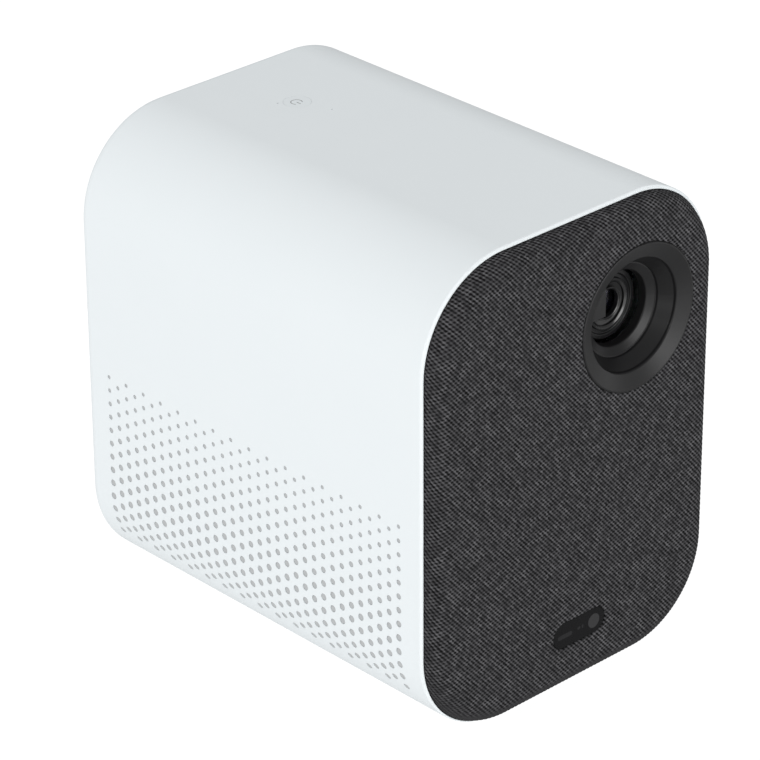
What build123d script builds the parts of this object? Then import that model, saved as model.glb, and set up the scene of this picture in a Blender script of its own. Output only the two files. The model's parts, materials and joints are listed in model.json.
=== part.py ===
from build123d import *

import math
import os

# Compact home projector, built as the pieces it comes apart into on a bench.
# Millimetres: +X to the right seen from the front, +Y towards the back, +Z up.
# The origin is on the table under the middle of the housing; the fabric front faces -Y.

os.makedirs("parts", exist_ok=True)

# ---------------------------------------------------------------- driving dimensions
WIDTH, HEIGHT, DEPTH = 115.0, 150.0, 150.0      # housing without its feet
CORNER = 31.0                                   # outer corner radius of the sleeve
WALL = 2.2                                      # sleeve wall
FOOT = 1.2                                      # how far the feet stand below the sleeve
BULGE = 5.0                                     # how far the fabric front stands out of the sleeve
SHOULDER = 6.0                                  # rounding of the fabric front
BACK_ROUND, FRONT_ROUND = 3.3, 0.8              # sleeve edge roundings

FRONT_Y = -DEPTH / 2
REAR_Y = DEPTH / 2
RIM_Y = FRONT_Y + BULGE                         # front edge of the sleeve
MID_Z = FOOT + HEIGHT / 2
TOP_Z = FOOT + HEIGHT
FLOOR_IN = FOOT + WALL                          # inner face of the sleeve's bottom

LIP, RABBET = 0.95, 2.4                         # thin lip round the front panel, and its depth
PANEL_GAP = 1.15                                # inset of the fabric's outline from the sleeve's
PANEL_DROP = 0.55                               # how much further down the panel reaches
CLOTH = 0.8                                     # fabric with its backing
SEAT = 0.05                                     # clearance of glued or seated pieces
RETURN, RETURN_W = 3.0, 5.0                     # thickness and width of the sleeve's rear return

PITCH = 4.51                                    # side holes, on a triangular grid
COLUMN_PITCH = PITCH * math.sqrt(3) / 2
HOLE_COLUMNS, HOLE_ROWS = 33, 13
HOLE_TOP = FOOT + 71.1                          # height of the highest row
HOLE_LAST_Y = 64.0                              # column nearest the back
HOLE_SMALL, HOLE_LARGE = 0.65, 1.1              # hole radii, top row and lower rows
GROWS_OVER = 8                                  # rows over which the holes grow

LENS_X, LENS_Z = 23.6, FOOT + 112.9             # optical axis, which runs along Y
SHROUD_R = 22.8
PILL_X, PILL_Z = 2.0, FOOT + 19.2               # sensor window under the lens
PILL_W, PILL_H = 21.3, 8.4

BUTTON_Y, BUTTON_R, BUTTON_GAP = 42.0, 4.2, 0.06
SWITCH_TOP = TOP_Z - 6.3
BUTTON_BOARD_Z = (TOP_Z - 10.9, TOP_Z - 9.7)
BUTTON_POST_X = 12.0
PINHOLES = [(-4.9, 45.2), (3.5, 30.8)]          # status light and microphone in the top

BARREL_Y = FRONT_Y + 12.2                       # front of the focus barrel at rest
MOUNT_Y = -57.0                                 # front of the fixed lens tube
GEAR_MODULE, RING_TEETH, PINION_TEETH = 0.8, 54, 12
RING_Y = (-52.0, -46.0)                         # toothed band of the focus ring
GEAR_DISTANCE = GEAR_MODULE * (RING_TEETH + PINION_TEETH) / 2 + 0.12
PINION_X, PINION_Z = LENS_X - GEAR_DISTANCE, LENS_Z
MOTOR_Y = (-42.0, -28.0)

ENGINE_X, ENGINE_Y, ENGINE_Z = (-1.0, 47.0), (-20.0, 28.0), (95.0, 137.0)
ENGINE_WALL = 2.5
LAMP_XS, LAMP_Y = (7.5, 22.5, 37.5), 14.0       # red, green and blue lamp
ENGINE_POSTS = [(3.5, -16.0), (43.0, -16.0), (3.5, 24.5), (43.0, 24.5)]
LEDGE_Z = 108.3                                 # top of the mirror walls inside the engine

PIPE_R = 3.0
SINK_X, SINK_Y, SINK_Z = (3.5, 47.0), (-6.0, 50.0), (14.0, 74.0)
FIN_PITCH, FIN = 3.0, 0.5
FAN_X, FAN_Y, FAN_Z, FAN_SIZE = (-13.0, 2.0), 24.0, 46.0, 60.0
FAN_BORE, HUB_R, BLADES = 28.5, 13.0, 9

SPEAKER_Y, SPEAKER_Z, SPEAKER_FACE, SPEAKER_R = -42.0, 42.0, 52.2, 18.0
CHAMBER_X, CHAMBER_Y, CHAMBER_Z = (8.0, 50.2), (-63.5, -20.5), (21.5, 84.0)

BASE_Z = (5.0, 7.0)                             # chassis floor
BOARD_Z = (9.5, 11.1)                           # main board
BOARD_POSTS = [(x, y) for x in (-29.0, 29.0) for y in (-10.0, 44.0)]
SHELF_Z = (79.0, 80.6)                          # sheet-metal shelf under the light engine
BULKHEADS_Y = [(-19.0, -17.4), (54.0, 55.6)]

PORT_Y = REAR_Y - 1.8                           # where the sockets' mouths lie
BAY_X, BAY_Z = (-30.0, 30.0), (10.0, 25.0)
POWER_AT, VIDEO_AT, DATA_AT, AUDIO_AT = (-23.0, 17.0), (-6.0, 14.0), (11.5, 14.6), (24.5, 15.0)
VIDEO_W, VIDEO_H = 15.2, 5.8
DATA_W, DATA_H = 14.4, 7.0
AUDIO_R, POWER_R = 1.78, 2.75

FEET = [(x, y) for x in (-18.5, 18.5) for y in (-50.0, 55.0)]
FOOT_R = 6.5
THREAD_R = 2.6                                  # tapping bore of the stand's quarter-inch thread


# ---------------------------------------------------------------- small helpers
def slab(x, y, z):
    """A box given by its (low, high) span along each axis."""
    spans = (x, y, z)
    middle = [(low + high) / 2 for low, high in spans]
    return Pos(*middle) * Box(*[high - low for low, high in spans])


def rod(axis, centre, radius, span):
    """A cylinder along X, Y or Z; centre holds the other two coordinates in X, Y, Z order."""
    turn = {"X": Rot(0, 90, 0), "Y": Rot(90, 0, 0), "Z": Rot(0, 0, 0)}[axis]
    place = list(centre)
    place.insert("XYZ".index(axis), (span[0] + span[1]) / 2)
    return Pos(*place) * turn * Cylinder(radius, span[1] - span[0])


def tube(axis, centre, outer, inner, span):
    return rod(axis, centre, outer, span) - rod(axis, centre, inner, (span[0] - 1, span[1] + 1))


def across(side, low, high):
    """A span along X on the given side, -1 or 1."""
    return tuple(sorted((side * low, side * high)))


def housing_block(inset, front, back, drop=0.0):
    """The sleeve's rounded outline, drawn in by inset, let down by drop, from front to back."""
    outline = RectangleRounded(WIDTH - 2 * inset, HEIGHT - 2 * inset + drop, CORNER - inset)
    return extrude(Plane.XZ.offset(-back) * Pos(0, MID_Z - drop / 2) * outline, back - front)


def front_edges(solid):
    return solid.edges().group_by(Axis.Y)[0]


def back_edges(solid):
    return solid.edges().group_by(Axis.Y)[-1]


def lens_turned(front, points, soft=()):
    """A solid of revolution about the optical axis; points are (radius, distance behind front).
    Soft corners are (radius, distance, rounding)."""
    face = make_face(Polyline(*points, close=True))
    for radius, distance, rounding in soft:
        corner = face.vertices().sort_by_distance((radius, distance, 0))[0]
        face = fillet(corner, rounding)
    return Pos(LENS_X, front, LENS_Z) * revolve(face, Axis.Y)


def pill(margin, front, back):
    slot = SlotOverall(PILL_W + 2 * margin, PILL_H + 2 * margin)
    return extrude(Plane.XZ.offset(-back) * Pos(PILL_X, PILL_Z) * slot, back - front)


def save(name, *shapes):
    """Write one named piece, as a solid or as a group of loose solids."""
    solids = [solid for shape in shapes for solid in shape.solids()]
    shape = solids[0] if len(solids) == 1 else Compound(solids)
    export_step(shape, f"parts/{name}.step")


# ---------------------------------------------------------------- housing
def hole_radius(row):
    return HOLE_SMALL + (HOLE_LARGE - HOLE_SMALL) * min(row / GROWS_OVER, 1.0)


def side_holes():
    """Drills for both perforated sides; rows keep their pitch round the lower corner."""
    drills = []
    turn_z = FOOT + CORNER
    for column in range(HOLE_COLUMNS):
        y = HOLE_LAST_Y - column * COLUMN_PITCH
        odd = column % 2
        for step in range(HOLE_ROWS - odd):
            row = step + 0.5 * odd
            height = HOLE_TOP - row * PITCH
            angle = math.degrees(max(turn_z - height, 0.0) / CORNER)
            drill = Cylinder(hole_radius(row), 3 * WALL)
            for side in (-1, 1):
                centre = Pos(side * (WIDTH / 2 - CORNER), y, max(height, turn_z))
                turn = Rot(0, side * angle, 0)
                drills.append(centre * turn * Pos(side * CORNER, 0, 0) * Rot(0, 90, 0) * drill)
    return drills


def outer_shell():
    """One-piece sleeve with its rear return, side holes, button hole and screw posts."""
    sleeve = housing_block(0, RIM_Y, REAR_Y)
    sleeve = fillet(back_edges(sleeve), BACK_ROUND)
    sleeve = fillet(front_edges(sleeve), FRONT_ROUND)
    sleeve -= housing_block(WALL, RIM_Y - 1, REAR_Y - RETURN)
    sleeve -= housing_block(RETURN_W, REAR_Y - RETURN - 1, REAR_Y + 1)
    sleeve -= housing_block(LIP, RIM_Y - 1, RIM_Y + RABBET, PANEL_DROP)
    through_top = (TOP_Z - WALL - 1, TOP_Z + 1)
    through_floor = (FOOT - 1, FLOOR_IN + 1)
    sleeve -= rod("Z", (0, BUTTON_Y), BUTTON_R + BUTTON_GAP, through_top)
    for place in PINHOLES:
        sleeve -= rod("Z", place, 0.3, through_top)
    sleeve -= rod("Z", (0, 0), 5.2, through_floor)
    for place in FEET:
        sleeve -= rod("Z", place, FOOT_R + 0.1, (FOOT - 1, FOOT + 0.9))
        sleeve -= rod("Z", place, 3.1, (FOOT, FOOT + 1.7))
        sleeve -= rod("Z", place, 1.4, through_floor)
    for side in (-1, 1):
        place = (side * BUTTON_POST_X, BUTTON_Y)
        sleeve += tube("Z", place, 2.6, 1.2, (BUTTON_BOARD_Z[1], TOP_Z - WALL + 0.2))
    return sleeve - side_holes()


def front_fabric():
    """Cloth skin stretched over the baffle, open for the lens and the sensor window."""
    back = RIM_Y + RABBET - SEAT
    skin = housing_block(PANEL_GAP, FRONT_Y, back, PANEL_DROP)
    skin = fillet(front_edges(skin), SHOULDER)
    core = housing_block(PANEL_GAP + CLOTH, FRONT_Y + CLOTH, back + 1, PANEL_DROP)
    core = fillet(front_edges(core), SHOULDER - CLOTH)
    through = (FRONT_Y - 1, back + 1)
    return skin - core - rod("Y", (LENS_X, LENS_Z), SHROUD_R + SEAT, through) - pill(0.2, *through)


def front_baffle():
    """Moulded panel behind the cloth, with clip tabs that grip inside the sleeve."""
    inset = PANEL_GAP + CLOTH + SEAT
    face, back = FRONT_Y + CLOTH + SEAT, RIM_Y + RABBET - SEAT
    plate = housing_block(inset, face, back, PANEL_DROP)
    plate = fillet(front_edges(plate), SHOULDER - CLOTH - SEAT)
    pocket = housing_block(inset + 2.2, face + 2.4, back + 1, PANEL_DROP)
    pocket = fillet(front_edges(pocket), 3.0)
    through = (FRONT_Y - 1, back + 1)
    plate -= pocket
    plate -= rod("Y", (LENS_X, LENS_Z), SHROUD_R + SEAT, through)
    plate -= pill(SEAT, *through)
    reach = (face + 2.0, RIM_Y + 9.0)
    for x in (-30.0, 0.0, 30.0):
        for z in (FLOOR_IN + 3.2, TOP_Z - WALL - 3.2):
            plate += slab((x - 4, x + 4), reach, (z - 0.8, z + 0.8))
    for z in (50.0, 100.0):
        for side in (-1, 1):
            x = side * (WIDTH / 2 - WALL - 3.2)
            plate += slab((x - 0.8, x + 0.8), reach, (z - 4, z + 4))
    return plate


def lens_shroud():
    """Stepped funnel round the lens, with a flat tab that shades its upper left."""
    funnel = lens_turned(FRONT_Y, [
        (SHROUD_R, 0.0), (22.2, 0.0), (17.5, 1.8), (17.3, 2.7), (14.6, 6.3),
        (14.4, 7.0), (14.0, 7.0), (11.6, 8.3), (11.4, 11.0), (12.9, 11.0), (12.9, 9.6),
        (15.7, 8.2), (15.9, 7.0), (18.9, 3.7), (20.0, 4.8), (25.0, 4.8), (25.0, 3.3),
        (SHROUD_R, 3.3),
    ], soft=[
        (SHROUD_R, 0.0, 0.4), (17.5, 1.8, 0.6), (17.3, 2.7, 0.4), (14.4, 7.0, 0.2), (11.6, 8.3, 0.6),
    ])
    tab = slab((LENS_X - 18.0, LENS_X - 11.9), (FRONT_Y + 1.9, FRONT_Y + 3.0),
               (LENS_Z + 3.8, LENS_Z + 13.5))
    return funnel + (tab & rod("Y", (LENS_X, LENS_Z), 17.7, (FRONT_Y + 1, FRONT_Y + 4)))


def sensor_window():
    window = pill(0, FRONT_Y + 0.45, FRONT_Y + CLOTH + 1.4)
    return fillet(front_edges(window), 0.25)


def rear_cover():
    """Back panel with a field of vents, a bay for the sockets, and clip tabs."""
    inside = REAR_Y - RETURN
    panel = housing_block(RETURN_W + 0.1, inside - 0.1, REAR_Y - 0.6)
    panel = fillet(back_edges(panel), 0.5)
    frame = housing_block(WALL + 0.1, inside - 2.1, inside - 0.1)
    frame -= housing_block(RETURN_W + 2.0, inside - 3, inside + 1)
    panel += frame
    through = (inside - 3, REAR_Y + 1)
    panel -= slab((BAY_X[0] - 0.1, BAY_X[1] + 0.1), through, (BAY_Z[0] - 0.1, BAY_Z[1] + 0.1))
    drills = []
    for column in range(-9, 10):
        odd = column % 2
        for step in range(14 - odd):
            z = FOOT + 52 + (step + 0.5 * odd) * PITCH
            drills.append(rod("Y", (column * COLUMN_PITCH, z), HOLE_LARGE, through))
    for side in (-1, 1):
        x = side * (WIDTH / 2 - WALL - 3.4)
        for z in (50.0, 100.0):
            panel += slab((x - 0.8, x + 0.8), (inside - 9, inside - 1), (z - 4, z + 4))
    return panel - drills


def port_panel():
    """Dark inlay that fills the bay in the rear cover and frames the four sockets."""
    inlay = slab(BAY_X, (PORT_Y - 1.8, PORT_Y), BAY_Z)
    inlay = fillet(inlay.edges().filter_by(Axis.Y), 3.0)
    flange_y = (PORT_Y - 2.6, PORT_Y - 1.4)
    return inlay + slab((BAY_X[0] - 1, BAY_X[1] + 1), flange_y, (BAY_Z[0] + 2, BAY_Z[1] + 1))


def port_openings():
    """What the inlay is cut by, a hair wider than each socket."""
    through = (PORT_Y - 4, PORT_Y + 1)
    cuts = []
    for (x, z), width, height in ((VIDEO_AT, VIDEO_W, VIDEO_H), (DATA_AT, DATA_W, DATA_H)):
        half_w, half_h = width / 2 + 0.15, height / 2 + 0.15
        cuts.append(slab((x - half_w, x + half_w), through, (z - half_h, z + half_h)))
    cuts.append(rod("Y", AUDIO_AT, 3.15, through))
    cuts.append(rod("Y", POWER_AT, 4.65, through))
    return cuts


def rubber_foot(x, y):
    pad = rod("Z", (x, y), FOOT_R, (0, FOOT + 0.85))
    return fillet(pad.edges().group_by(Axis.Z)[0], 0.4)


def dust_screen(side):
    """Fine mesh sheet bonded behind the holes, following the sleeve's inner face."""
    front, back = HOLE_LAST_Y - HOLE_COLUMNS * COLUMN_PITCH - 0.5, HOLE_LAST_Y + 4
    sheet = housing_block(WALL + 0.03, front, back)
    sheet -= housing_block(WALL + 0.4, front - 1, back + 1)
    return sheet & slab(across(side, 30.0, WIDTH), (-DEPTH, DEPTH), (9.0, HOLE_TOP + 3.0))


# ---------------------------------------------------------------- power button
def power_button():
    cap = rod("Z", (0, BUTTON_Y), BUTTON_R, (TOP_Z - 3.0, TOP_Z - 0.02))
    flange = rod("Z", (0, BUTTON_Y), BUTTON_R + 1.2, (TOP_Z - 3.5, TOP_Z - WALL - 0.1))
    stem = rod("Z", (0, BUTTON_Y), 1.2, (SWITCH_TOP - 0.4, TOP_Z - 3.2))
    return cap + flange + stem


def button_switch():
    """Switch can that the button's stem dips into."""
    span = (BUTTON_BOARD_Z[1], SWITCH_TOP)
    can = slab((-3, 3), (BUTTON_Y - 3, BUTTON_Y + 3), span)
    return can - rod("Z", (0, BUTTON_Y), 1.5, (SWITCH_TOP - 1.5, SWITCH_TOP + 1))


def button_board():
    board = slab((-15, 15), (BUTTON_Y - 14, BUTTON_Y + 9), BUTTON_BOARD_Z)
    for side in (-1, 1):
        place = (side * BUTTON_POST_X, BUTTON_Y)
        board -= rod("Z", place, 1.3, (BUTTON_BOARD_Z[0] - 1, BUTTON_BOARD_Z[1] + 1))
    return board


# ---------------------------------------------------------------- lens and focus drive
def focus_barrel():
    """Moving lens cell: stepped nose round the glass in front, sliding skirt behind."""
    return lens_turned(BARREL_Y, [
        (10.9, 0.0), (9.4, 0.0), (9.1, 0.5), (8.1, 0.5), (7.9, -0.3), (7.4, -0.3), (7.1, 0.5),
        (5.3, 0.9), (5.1, -0.1), (4.7, -0.1), (4.5, 0.4), (4.5, 1.7), (9.8, 2.7), (9.8, 32.0),
        (12.7, 32.0), (12.7, 8.0), (10.9, 8.0),
    ], soft=[
        (10.9, 0.0, 0.4), (9.4, 0.0, 0.3), (9.1, 0.5, 0.2), (7.9, -0.3, 0.18), (7.4, -0.3, 0.2),
        (5.1, -0.1, 0.15), (4.7, -0.1, 0.18),
    ])


def barrel_spacer(front, back):
    return tube("Y", (LENS_X, LENS_Z), 9.75, 8.6, (BARREL_Y + front, BARREL_Y + back))


def lens_element(front, edge, bulge_front, bulge_back):
    """A glass element: where its rim starts, its rim's thickness, and how far each face bulges."""
    back = front + edge
    axis = (LENS_X, LENS_Z)
    clear_r = 8.5                               # polished part of each face
    ball_front = (clear_r ** 2 + bulge_front ** 2) / (2 * bulge_front)
    ball_back = (clear_r ** 2 + bulge_back ** 2) / (2 * bulge_back)
    glass = rod("Y", axis, clear_r, (BARREL_Y + front - 5, BARREL_Y + back + 5))
    glass &= Pos(LENS_X, BARREL_Y + front - bulge_front + ball_front, LENS_Z) * Sphere(ball_front)
    glass &= Pos(LENS_X, BARREL_Y + back + bulge_back - ball_back, LENS_Z) * Sphere(ball_back)
    return glass + rod("Y", axis, 9.75, (BARREL_Y + front, BARREL_Y + back))


def lens_mount():
    """Fixed tube that the focus barrel slides in, with a flange and an ear for the motor."""
    axis = (LENS_X, LENS_Z)
    back = ENGINE_Y[0]
    body = rod("Y", axis, 15.8, (MOUNT_Y, back)) + rod("Y", axis, 19.0, (back - 3, back))
    body += rod("Y", axis, 18.6, (RING_Y[1] + 0.3, RING_Y[1] + 2.1))
    body += slab((PINION_X - 8, LENS_X - 15), (back - 3, back), (LENS_Z - 8, LENS_Z + 8))
    return body - rod("Y", axis, 13.0, (MOUNT_Y - 1, back + 1))


def spur_gear(teeth, bore, width, phase):
    """A spur gear about the Y axis at the origin, turned by phase degrees."""
    pitch_r = GEAR_MODULE * teeth / 2
    base_r = pitch_r * math.cos(math.radians(20))
    tip_r, root_r = pitch_r + 0.72 * GEAR_MODULE, pitch_r - 1.1 * GEAR_MODULE
    half = math.pi / (2 * teeth) - 0.09 / pitch_r

    def involute(radius):
        pressure = math.acos(min(base_r / radius, 1.0))
        return math.tan(pressure) - pressure

    def flank(radius):
        return half + involute(pitch_r) - involute(max(radius, base_r))

    rise = [root_r, max(base_r, root_r + 0.1), (max(base_r, root_r + 0.1) + tip_r) / 2, tip_r]
    points = []
    for tooth in range(teeth):
        middle = 2 * math.pi * tooth / teeth + math.radians(phase)
        points += [(r, middle - flank(r)) for r in rise]
        points += [(r, middle + flank(r)) for r in reversed(rise)]
    outline = Polyline(*[(r * math.cos(a), r * math.sin(a)) for r, a in points], close=True)
    gear = extrude(Plane.XZ.offset(-width / 2) * make_face(outline), width)
    return gear - rod("Y", (0, 0), bore, (-width, width)) if bore else gear


def focus_ring():
    """Toothed ring that turns on the fixed tube and drives the barrel in and out."""
    gear = spur_gear(RING_TEETH, 16.1, RING_Y[1] - RING_Y[0], 0)
    ring = Pos(LENS_X, sum(RING_Y) / 2, LENS_Z) * gear
    return ring + tube("Y", (LENS_X, LENS_Z), 18.4, 16.1, (RING_Y[0] - 3.0, RING_Y[0] + 0.5))


def focus_pinion():
    """Pinion and motor shaft; a tooth gap faces the ring's tooth."""
    gear = spur_gear(PINION_TEETH, 0, RING_Y[1] - RING_Y[0] + 1, 180 / PINION_TEETH)
    pinion = Pos(PINION_X, sum(RING_Y) / 2, PINION_Z) * gear
    return pinion + rod("Y", (PINION_X, PINION_Z), 1.0, (RING_Y[0] - 1.5, MOTOR_Y[0] + 2))


def focus_motor():
    can = rod("Y", (PINION_X, PINION_Z), 6.0, MOTOR_Y)
    can = fillet(can.edges(), 0.6)
    can += rod("Y", (PINION_X, PINION_Z), 2.4, (MOTOR_Y[0] - 1.2, MOTOR_Y[0] + 1))
    return can - rod("Y", (PINION_X, PINION_Z), 1.06, (MOTOR_Y[0] - 2, MOTOR_Y[0] + 2.5))


def motor_bracket():
    """Folded plate that carries the motor from the lens mount's ear."""
    left = PINION_X - 8
    height = (PINION_Z - 8, PINION_Z + 8)
    plate = slab((left, PINION_X + 6.2), (MOTOR_Y[1], MOTOR_Y[1] + 1.6), height)
    return plate + slab((left, left + 1.6), (MOTOR_Y[1], ENGINE_Y[0] - 3), height)


# ---------------------------------------------------------------- light engine
def engine_housing():
    """Die-cast box, open at the top, with windows for the lens, picture chip and lamps."""
    x, y, z = ENGINE_X, ENGINE_Y, ENGINE_Z
    floor = z[0] + ENGINE_WALL
    box = slab(x, y, z)
    box = fillet(box.edges().filter_by(Axis.Z), 3.0)
    box -= slab((x[0] + ENGINE_WALL, x[1] - ENGINE_WALL), (y[0] + ENGINE_WALL, y[1] - ENGINE_WALL),
                (floor, z[1] + 1))
    box -= rod("Y", (LENS_X, LENS_Z), 12.0, (y[0] - 1, y[0] + 4))
    box -= slab((LENS_X - 8.1, LENS_X + 8.1), (y[1] - 4, y[1] + 1), (LENS_Z - 5.6, LENS_Z + 5.6))
    for low in (LAMP_Y - 8.5, LAMP_Y + 7.0):
        box += slab((x[0] + 1, x[1] - 1), (low, low + 1.5), (floor - 0.5, LEDGE_Z))
    box += slab((LENS_X - 8, LENS_X + 8), (LAMP_Y - 8.5, LAMP_Y + 8.5), (LEDGE_Z, LEDGE_Z + 1))
    for lamp_x in LAMP_XS:
        box -= rod("Z", (lamp_x, LAMP_Y), 4.5, (z[0] - 1, floor + 1))
    for place in ENGINE_POSTS:
        box += rod("Z", place, 2.5, (SHELF_Z[1], z[0] + 0.5))
    return box


def engine_lid():
    x, y, z = ENGINE_X, ENGINE_Y, ENGINE_Z
    lid = slab(x, y, (z[1], z[1] + 2.0))
    lid = fillet(lid.edges().filter_by(Axis.Z), 3.0)
    for rib in range(5):
        rib_y = y[0] + 8 + rib * 8
        lid += slab((x[0] + 5, x[1] - 5), (rib_y - 0.6, rib_y + 0.6), (z[1] + 1.9, z[1] + 3.6))
    return lid


def lamp_board(x):
    """Copper-cored board under the engine, with its emitter standing in the lamp window."""
    low = ENGINE_Z[0]
    board = slab((x - 6.8, x + 6.8), (LAMP_Y - 5.8, LAMP_Y + 5.8), (low - 1.6, low))
    return board + rod("Z", (x, LAMP_Y), 4.2, (low - 0.2, low + 1.6))


def collimator(x):
    lens = rod("Z", (x, LAMP_Y), 4.3, (ENGINE_Z[0] + 1.6, ENGINE_Z[0] + 5.0))
    return fillet(lens.edges().group_by(Axis.Z)[-1], 1.5)


def dichroic_mirror(x):
    """Colour-splitting plate that turns a lamp's light along the row."""
    return Pos(x, LAMP_Y, ENGINE_Z[0] + 9.2) * Rot(0, 45, 0) * Box(9.5, 14.0, 1.0)


def prism():
    outline = Polyline((-8, 8), (8, 8), (8, -8), close=True)
    wedge = extrude(make_face(outline), 10)
    return Pos(LENS_X, ENGINE_Y[1] - 11, LEDGE_Z + 1) * wedge


def picture_chip():
    y = (ENGINE_Y[1] - 2.0, ENGINE_Y[1])
    return slab((LENS_X - 8, LENS_X + 8), y, (LENS_Z - 5.5, LENS_Z + 5.5))


def chip_board():
    y = (ENGINE_Y[1], ENGINE_Y[1] + 1.6)
    return slab((LENS_X - 20, LENS_X + 20), y, (LENS_Z - 17, LENS_Z + 17))


def chip_heatsink():
    low = ENGINE_Y[1] + 1.6
    height = (LENS_Z - 14, LENS_Z + 14)
    sink = slab((LENS_X - 15, LENS_X + 15), (low, low + 2.5), height)
    for fin in range(9):
        x = LENS_X - 14.4 + fin * 3.6
        sink += slab((x - 0.6, x + 0.6), (low + 2.4, low + 11), height)
    return sink


def cold_plate(x):
    top = ENGINE_Z[0] - 1.6
    plate = slab((x - 6.5, x + 6.5), (LAMP_Y - 5.5, LAMP_Y + 5.5), (top - 5.4, top))
    return plate - rod("Z", (x, LAMP_Y), PIPE_R + SEAT, (top - 7, top - 1.4))


def heat_pipe(x):
    pipe = rod("Z", (x, LAMP_Y), PIPE_R, (SINK_Z[0] - 1.0, ENGINE_Z[0] - 3.0))
    return fillet(pipe.edges().group_by(Axis.Z)[0], 1.0)


def heatsink_fins():
    """Flat fins stacked on the pipes and joined by two side rails."""
    stack = slab(SINK_X, SINK_Y, (SINK_Z[0], SINK_Z[0] + FIN))
    for level in range(1, int((SINK_Z[1] - SINK_Z[0]) / FIN_PITCH) + 1):
        z = SINK_Z[0] + level * FIN_PITCH
        stack += slab(SINK_X, SINK_Y, (z - FIN, z))
    for y in (SINK_Y[0], SINK_Y[1] - 0.8):
        stack += slab((SINK_X[0] + 14, SINK_X[0] + 28), (y, y + 0.8), SINK_Z)
    for x in LAMP_XS:
        stack -= rod("Z", (x, LAMP_Y), PIPE_R + SEAT, (SINK_Z[0] - 2, SINK_Z[1] + 2))
    return stack


# ---------------------------------------------------------------- fan
def fan_frame():
    """Square axial fan frame along X, with a motor plate held by four struts."""
    axis = (FAN_Y, FAN_Z)
    half = FAN_SIZE / 2
    plate_x = (FAN_X[1] - 1.8, FAN_X[1])
    frame = slab(FAN_X, (FAN_Y - half, FAN_Y + half), (FAN_Z - half, FAN_Z + half))
    frame = fillet(frame.edges().filter_by(Axis.X), 4.0)
    frame -= rod("X", axis, FAN_BORE, (FAN_X[0] - 1, FAN_X[1] + 1))
    for dy in (-25.0, 25.0):
        for dz in (-25.0, 25.0):
            frame -= rod("X", (FAN_Y + dy, FAN_Z + dz), 2.15, (FAN_X[0] - 1, FAN_X[1] + 1))
    frame += rod("X", axis, HUB_R - 0.5, plate_x)
    for turn in (45, 135, 225, 315):
        frame += Pos(0, FAN_Y, FAN_Z) * Rot(turn, 0, 0) * slab(plate_x, (-1.5, 1.5), (11.0, 29.0))
    frame += rod("X", axis, 3.4, (FAN_X[0] + 4.0, FAN_X[1] - 1.0))
    return frame - rod("X", axis, 1.05, (FAN_X[0] + 2, FAN_X[1] - 1.2))


def fan_impeller():
    """Hub, shaft and pitched blades, 1 mm clear of the frame's bore."""
    axis = (FAN_Y, FAN_Z)
    hub_x = (FAN_X[0] + 0.8, FAN_X[1] - 2.4)
    hub = rod("X", axis, HUB_R, hub_x)
    hub = fillet(hub.edges().group_by(Axis.X)[0], 1.5)
    hub -= rod("X", axis, HUB_R - 1.4, (FAN_X[0] + 2.8, FAN_X[1]))
    swept = tube("X", axis, FAN_BORE - 1, HUB_R - 0.6, hub_x)
    for index in range(BLADES):
        blade = Pos(0, 0, 20.0) * Rot(0, 0, 38) * Box(13.0, 1.2, 18.0)
        place = Pos(sum(hub_x) / 2, FAN_Y, FAN_Z) * Rot(360 * index / BLADES, 0, 0)
        hub += place * blade & swept
    return hub + rod("X", axis, 1.0, (FAN_X[0] + 2.6, FAN_X[1] - 1.4))


# ---------------------------------------------------------------- loudspeakers
def speaker_turned(side, points):
    """A solid of revolution about a speaker's axis; points are (radius, depth from its face)."""
    face = make_face(Polyline(*[(-side * depth, r) for r, depth in points], close=True))
    return Pos(side * SPEAKER_FACE, SPEAKER_Y, SPEAKER_Z) * revolve(face, Axis.X)


def speaker_basket(side):
    return speaker_turned(side, [
        (15.6, 0.0), (SPEAKER_R, 0.0), (SPEAKER_R, 2.0), (16.2, 2.0), (10.2, 9.9), (9.2, 9.9),
        (9.2, 8.9), (15.6, 1.4),
    ])


def speaker_magnet(side):
    """Magnet and yoke with the ring gap for the voice coil."""
    return speaker_turned(side, [
        (0.0, 9.9), (4.3, 9.9), (4.3, 15.0), (6.0, 15.0), (6.0, 9.9), (10.2, 9.9), (10.2, 17.5),
        (0.0, 17.5),
    ])


def speaker_surround(side):
    """Half-roll rubber ring between the basket and the cone's edge."""
    return speaker_turned(side, [
        (13.3, 1.0), (13.6, 0.4), (14.4, 0.0), (15.1, 0.3), (15.55, 0.9), (15.55, 1.35),
        (14.9, 1.0), (14.4, 0.7), (13.9, 1.0), (13.3, 1.5),
    ])


def speaker_cone(side):
    """Cone, dust cap and voice coil, which travel together."""
    return speaker_turned(side, [
        (0.0, 3.0), (2.6, 3.4), (4.7, 4.6), (13.0, 0.9), (13.0, 1.4), (5.3, 5.4), (5.3, 13.5),
        (4.95, 13.5), (4.95, 5.6), (2.4, 4.0), (0.0, 3.6),
    ])


def speaker_box(side):
    """Closed chamber behind a driver, on two legs."""
    x, y, z = across(side, *CHAMBER_X), CHAMBER_Y, CHAMBER_Z
    wall = 1.6
    box = slab(x, y, z)
    box = fillet(box.edges().filter_by(Axis.X), 3.0)
    box -= slab((x[0] + wall, x[1] - wall), (y[0] + wall, y[1] - wall), (z[0] + wall, z[1] - wall))
    box -= rod("X", (SPEAKER_Y, SPEAKER_Z), 16.4, across(side, CHAMBER_X[1] - 3, CHAMBER_X[1] + 1))
    for leg_y in (y[0] + 4, y[1] - 10):
        box += slab(across(side, 27.0, 33.0), (leg_y, leg_y + 6), (BASE_Z[1], z[0] + 1))
    return box


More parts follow.
